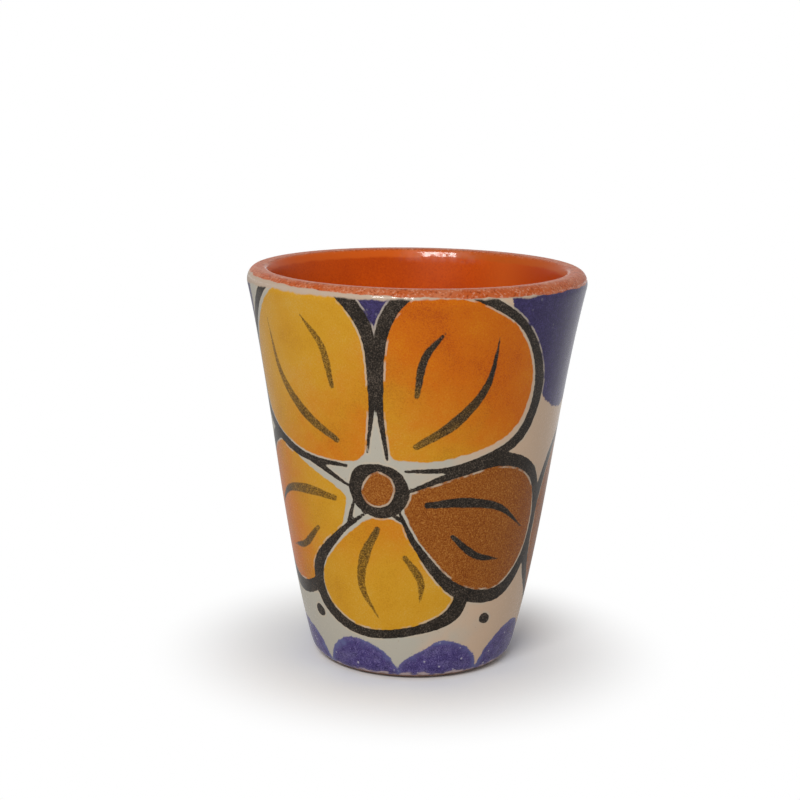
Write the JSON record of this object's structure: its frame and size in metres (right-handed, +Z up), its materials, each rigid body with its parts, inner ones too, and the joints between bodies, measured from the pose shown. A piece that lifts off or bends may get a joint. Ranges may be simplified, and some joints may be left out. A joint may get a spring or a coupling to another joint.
{
  "type": "ceramic shot cup",
  "caption": "Small flared earthenware shot cup with a rounded lip and a trimmed foot ring, coated outside with painted white slip and lined inside with clear glaze.",
  "frame": {"origin": "centre of the foot ring, on the surface that the cup stands on", "axes": "+Z up along the axis that the cup is turned on, -Y towards the painted front"},
  "size_m": [0.051, 0.051, 0.06],
  "materials": {
    "terracotta": "bare fired earthenware, matt, orange to pink-brown",
    "painted_slip": "cream slip under clear glaze, brush painted in yellow, orange, brown, violet and black",
    "glazed_terracotta": "clear glossy glaze over orange terracotta"
  },
  "bodies": {
    "root": {"clay_body": "terracotta", "slip_coat": "painted_slip", "glaze_lining": "glazed_terracotta"}
  },
  "joints": []
}
